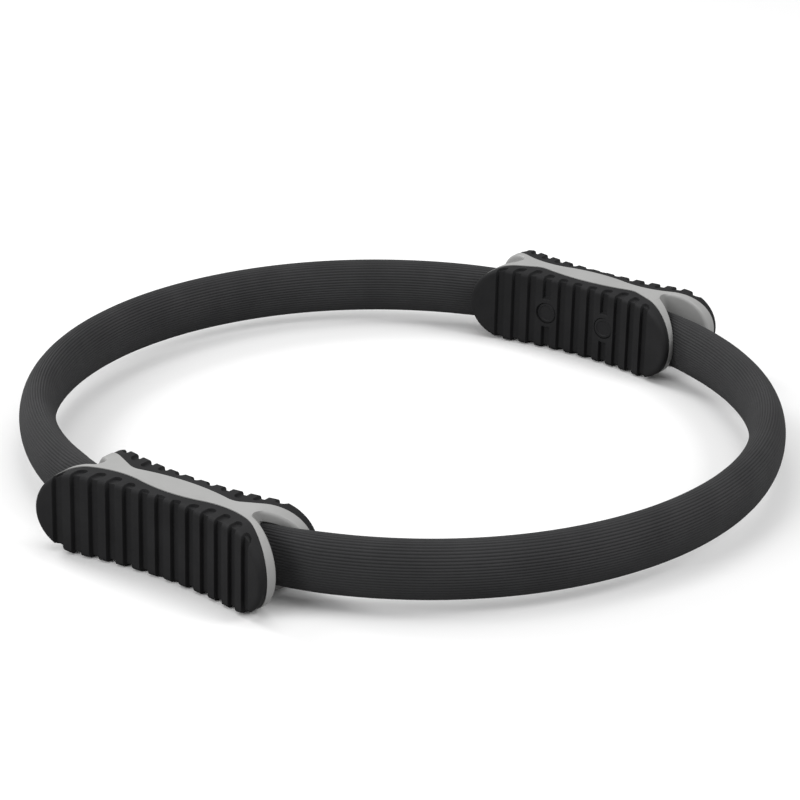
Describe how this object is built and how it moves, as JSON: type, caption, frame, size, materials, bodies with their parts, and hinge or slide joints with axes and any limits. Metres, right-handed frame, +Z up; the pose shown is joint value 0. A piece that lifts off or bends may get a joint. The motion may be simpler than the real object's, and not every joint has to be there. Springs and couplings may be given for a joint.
{
  "type": "pilates ring",
  "caption": "Sprung exercise hoop in a ribbed foam sleeve, with grooved padded handles on opposite sides that are pressed together between hands or knees.",
  "frame": {"origin": "on the floor, under the middle of the ring", "axes": "+Z up along the ring's axis, the front handle at -Y and the rear one at +Y"},
  "size_m": [0.38, 0.3972, 0.0416],
  "materials": {
    "foam": "matt charcoal closed-cell foam with fine ribs along its length",
    "pad_rubber": "matt black moulded rubber",
    "shell_plastic": "smooth light grey moulding",
    "band": "pultruded fibreglass strip",
    "steel": "zinc-plated",
    "plug_plastic": "matt black moulding"
  },
  "bodies": {
    "front_handle": {"front_outer_shell": "shell_plastic", "front_outer_pad": "pad_rubber", "front_inner_shell": "shell_plastic", "front_inner_pad": "pad_rubber", "front_left_nut": "steel", "front_left_plug": "plug_plastic", "front_right_nut": "steel", "front_right_plug": "plug_plastic"},
    "rear_handle": {"rear_outer_shell": "shell_plastic", "rear_outer_pad": "pad_rubber", "rear_inner_shell": "shell_plastic", "rear_inner_pad": "pad_rubber", "rear_left_nut": "steel", "rear_left_plug": "plug_plastic", "rear_right_nut": "steel", "rear_right_plug": "plug_plastic", "rear_left_screw": "steel", "rear_right_screw": "steel"},
    "left_half": {"left_foam_sleeve": "foam", "left_spring_band": "band"},
    "right_half": {"right_foam_sleeve": "foam", "right_spring_band": "band"},
    "front_left_clamp": {"front_left_screw": "steel"},
    "front_right_clamp": {"front_right_screw": "steel"}
  },
  "joints": [
    {"name": "squeeze", "type": "slide", "parent": "front_handle", "child": "rear_handle", "axis": [0, -1, 0], "range_m": [-0.02, 0.08], "stiffness_N_per_m": 1900},
    {"name": "left_bulge", "type": "slide", "parent": "rear_handle", "child": "left_half", "axis": [-0.6771, 0.7359, 0], "range_m": [-0.0139, 0.0554], "deforming": ["left_foam_sleeve", "left_spring_band"]},
    {"name": "right_bulge", "type": "slide", "parent": "rear_handle", "child": "right_half", "axis": [0.6771, 0.7359, 0], "range_m": [-0.0139, 0.0554], "deforming": ["right_foam_sleeve", "right_spring_band"]},
    {"name": "left_clamp", "type": "slide", "parent": "left_half", "child": "front_left_clamp", "axis": [0.6771, 0.7359, 0], "range_m": [-0.0139, 0.0554]},
    {"name": "right_clamp", "type": "slide", "parent": "right_half", "child": "front_right_clamp", "axis": [-0.6771, 0.7359, 0], "range_m": [-0.0139, 0.0554]}
  ],
  "couplings": [
    {"joint": "left_bulge", "follows": "squeeze", "ratio": 0.67941},
    {"joint": "right_bulge", "follows": "squeeze", "ratio": 0.67941},
    {"joint": "left_clamp", "follows": "squeeze", "ratio": 0.67941},
    {"joint": "right_clamp", "follows": "squeeze", "ratio": 0.67941}
  ]
}
